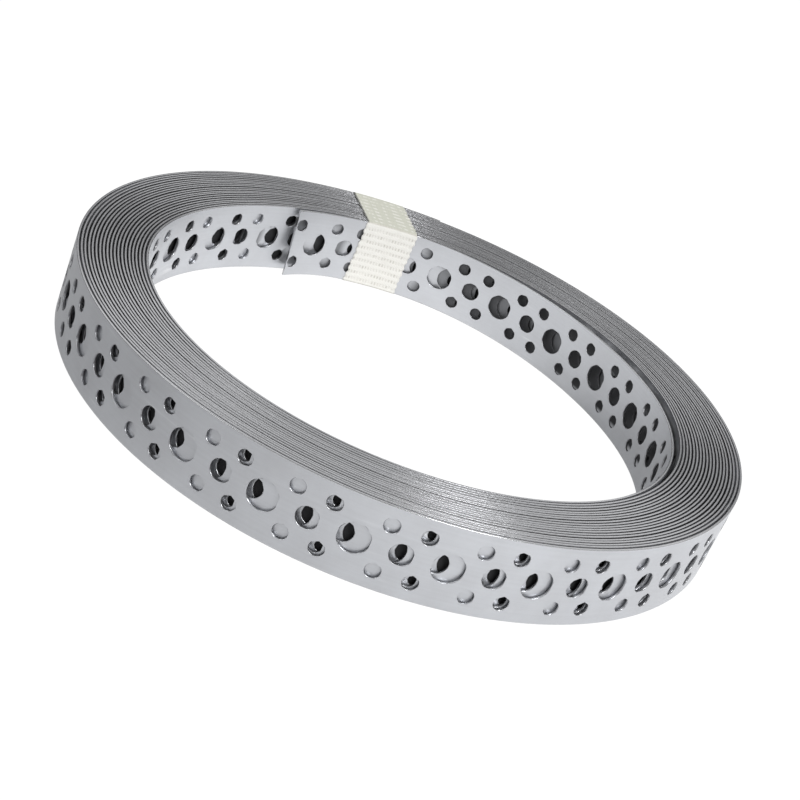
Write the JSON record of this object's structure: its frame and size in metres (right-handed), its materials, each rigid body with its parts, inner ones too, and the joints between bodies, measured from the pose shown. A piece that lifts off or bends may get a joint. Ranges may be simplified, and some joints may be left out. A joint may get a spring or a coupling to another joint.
{
  "type": "perforated steel strap coil",
  "caption": "Roll of galvanised perforated steel strap with bolt, screw and nail holes, wound flat in a spiral and bound with a white tape.",
  "frame": {"origin": "centre of the coil's first half turn, on the floor under the tape", "axes": "+Z along the coil's axis, up; the tape is at the back, towards +Y, and the front of the picture is -Y"},
  "size_m": [0.1713, 0.1711, 0.0205],
  "materials": {
    "galvanised_steel": "galvanised, satin",
    "woven_tape": "ribbed, matte"
  },
  "bodies": {
    "root": {"strap_coil": "galvanised_steel", "binding_tape": "woven_tape"}
  },
  "joints": []
}
